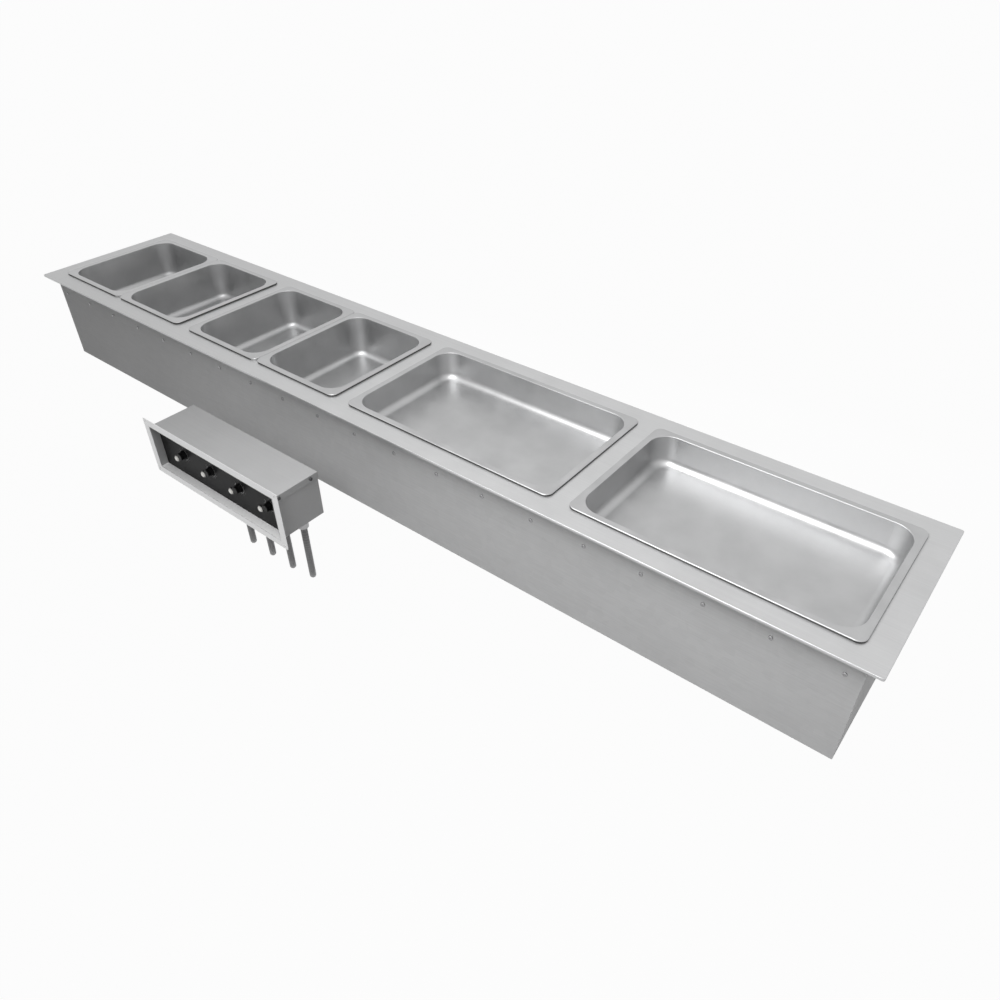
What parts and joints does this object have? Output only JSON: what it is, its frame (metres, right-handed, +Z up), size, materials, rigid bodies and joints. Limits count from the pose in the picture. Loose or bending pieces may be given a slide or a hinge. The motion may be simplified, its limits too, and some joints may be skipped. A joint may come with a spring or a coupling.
{
  "type": "drop-in hot food well",
  "caption": "Long drop-in hot food well: a flat flange over a row of heated wells with lift-out pans, a sheet-metal housing below, and a control box with knobs on conduits.",
  "frame": {"origin": "middle of the cut-out in the counter, level with the counter's top, under the flange's hem", "axes": "+X along the row of wells, -Y towards the controls, +Z up"},
  "size_m": [2.316, 0.616, 0.4684],
  "materials": {
    "flange_stainless": "brushed along the length",
    "pan_stainless": "bright drawn stainless",
    "liner_stainless": "dull drawn stainless",
    "housing_steel": "aluminised sheet",
    "box_steel": "satin sheet",
    "panel_black": "satin black paint",
    "knob_black": "moulded black",
    "lamp_lens": "milky lens",
    "lamp_holder": "black moulded",
    "conduit_jacket": "grey jacket",
    "fitting_zinc": "die-cast",
    "gasket_rubber": "closed-cell strip",
    "insulation_board": "mineral wool board",
    "element_sheath": "dark sheathed rod",
    "bulb_copper": "drawn copper",
    "moulded_black": "moulded",
    "bright_hardware": "plated"
  },
  "bodies": {
    "housing": {"top_flange": "flange_stainless", "adapter_bar_1": "pan_stainless", "adapter_bar_2": "pan_stainless", "well_liner_1": "liner_stainless", "well_liner_2": "liner_stainless", "well_liner_3": "liner_stainless", "well_liner_4": "liner_stainless", "front_panel": "housing_steel", "back_panel": "housing_steel", "left_end_panel": "housing_steel", "right_end_panel": "housing_steel", "bottom_panel": "housing_steel", "cross_rails": "housing_steel", "panel_strips": "housing_steel", "element_plates": "housing_steel", "control_box_shell": "box_steel", "control_box_lid": "box_steel", "control_bezel": "box_steel", "control_panel": "panel_black", "indicator_lamps": "lamp_lens", "lamp_holders": "lamp_holder", "conduit_1": "conduit_jacket", "conduit_2": "conduit_jacket", "conduit_3": "conduit_jacket", "conduit_4": "conduit_jacket", "box_conduit_fittings": "fitting_zinc", "well_conduit_fittings": "fitting_zinc", "conduit_locknuts": "fitting_zinc", "supply_hub": "fitting_zinc", "flange_gasket": "gasket_rubber", "insulation_front": "insulation_board", "insulation_back": "insulation_board", "insulation_ends": "insulation_board", "insulation_bottom": "insulation_board", "heating_element_1": "element_sheath", "heating_element_2": "element_sheath", "heating_element_3": "element_sheath", "heating_element_4": "element_sheath", "sensor_bulbs": "bulb_copper", "thermostat_bodies": "moulded_black", "high_limits": "moulded_black", "terminal_block": "moulded_black", "housing_screws": "bright_hardware", "control_box_screws": "bright_hardware", "thermostat_nuts": "bright_hardware"},
    "half_pan_1": {"half_pan_1": "pan_stainless"},
    "half_pan_2": {"half_pan_2": "pan_stainless"},
    "half_pan_3": {"half_pan_3": "pan_stainless"},
    "half_pan_4": {"half_pan_4": "pan_stainless"},
    "full_pan_1": {"full_pan_1": "pan_stainless"},
    "full_pan_2": {"full_pan_2": "pan_stainless"},
    "control_1": {"knob_1": "knob_black", "thermostat_shaft_1": "bright_hardware"},
    "control_2": {"knob_2": "knob_black", "thermostat_shaft_2": "bright_hardware"},
    "control_3": {"knob_3": "knob_black", "thermostat_shaft_3": "bright_hardware"},
    "control_4": {"knob_4": "knob_black", "thermostat_shaft_4": "bright_hardware"}
  },
  "joints": [
    {"name": "half_pan_1_lift", "type": "slide", "parent": "housing", "child": "half_pan_1", "axis": [0, 0, 1], "range_m": [0, 0.15]},
    {"name": "half_pan_2_lift", "type": "slide", "parent": "housing", "child": "half_pan_2", "axis": [0, 0, 1], "range_m": [0, 0.15]},
    {"name": "half_pan_3_lift", "type": "slide", "parent": "housing", "child": "half_pan_3", "axis": [0, 0, 1], "range_m": [0, 0.15]},
    {"name": "half_pan_4_lift", "type": "slide", "parent": "housing", "child": "half_pan_4", "axis": [0, 0, 1], "range_m": [0, 0.15]},
    {"name": "full_pan_1_lift", "type": "slide", "parent": "housing", "child": "full_pan_1", "axis": [0, 0, 1], "range_m": [0, 0.15]},
    {"name": "full_pan_2_lift", "type": "slide", "parent": "housing", "child": "full_pan_2", "axis": [0, 0, 1], "range_m": [0, 0.15]},
    {"name": "knob_1_turn", "type": "hinge", "parent": "housing", "child": "control_1", "pos_m": [-0.272, -0.393, -0.1235], "axis": [0, 1, 0], "range_deg": [0, 300]},
    {"name": "knob_2_turn", "type": "hinge", "parent": "housing", "child": "control_2", "pos_m": [-0.174, -0.393, -0.1235], "axis": [0, 1, 0], "range_deg": [0, 300]},
    {"name": "knob_3_turn", "type": "hinge", "parent": "housing", "child": "control_3", "pos_m": [-0.076, -0.393, -0.1235], "axis": [0, 1, 0], "range_deg": [0, 300]},
    {"name": "knob_4_turn", "type": "hinge", "parent": "housing", "child": "control_4", "pos_m": [0.022, -0.393, -0.1235], "axis": [0, 1, 0], "range_deg": [0, 300]}
  ]
}
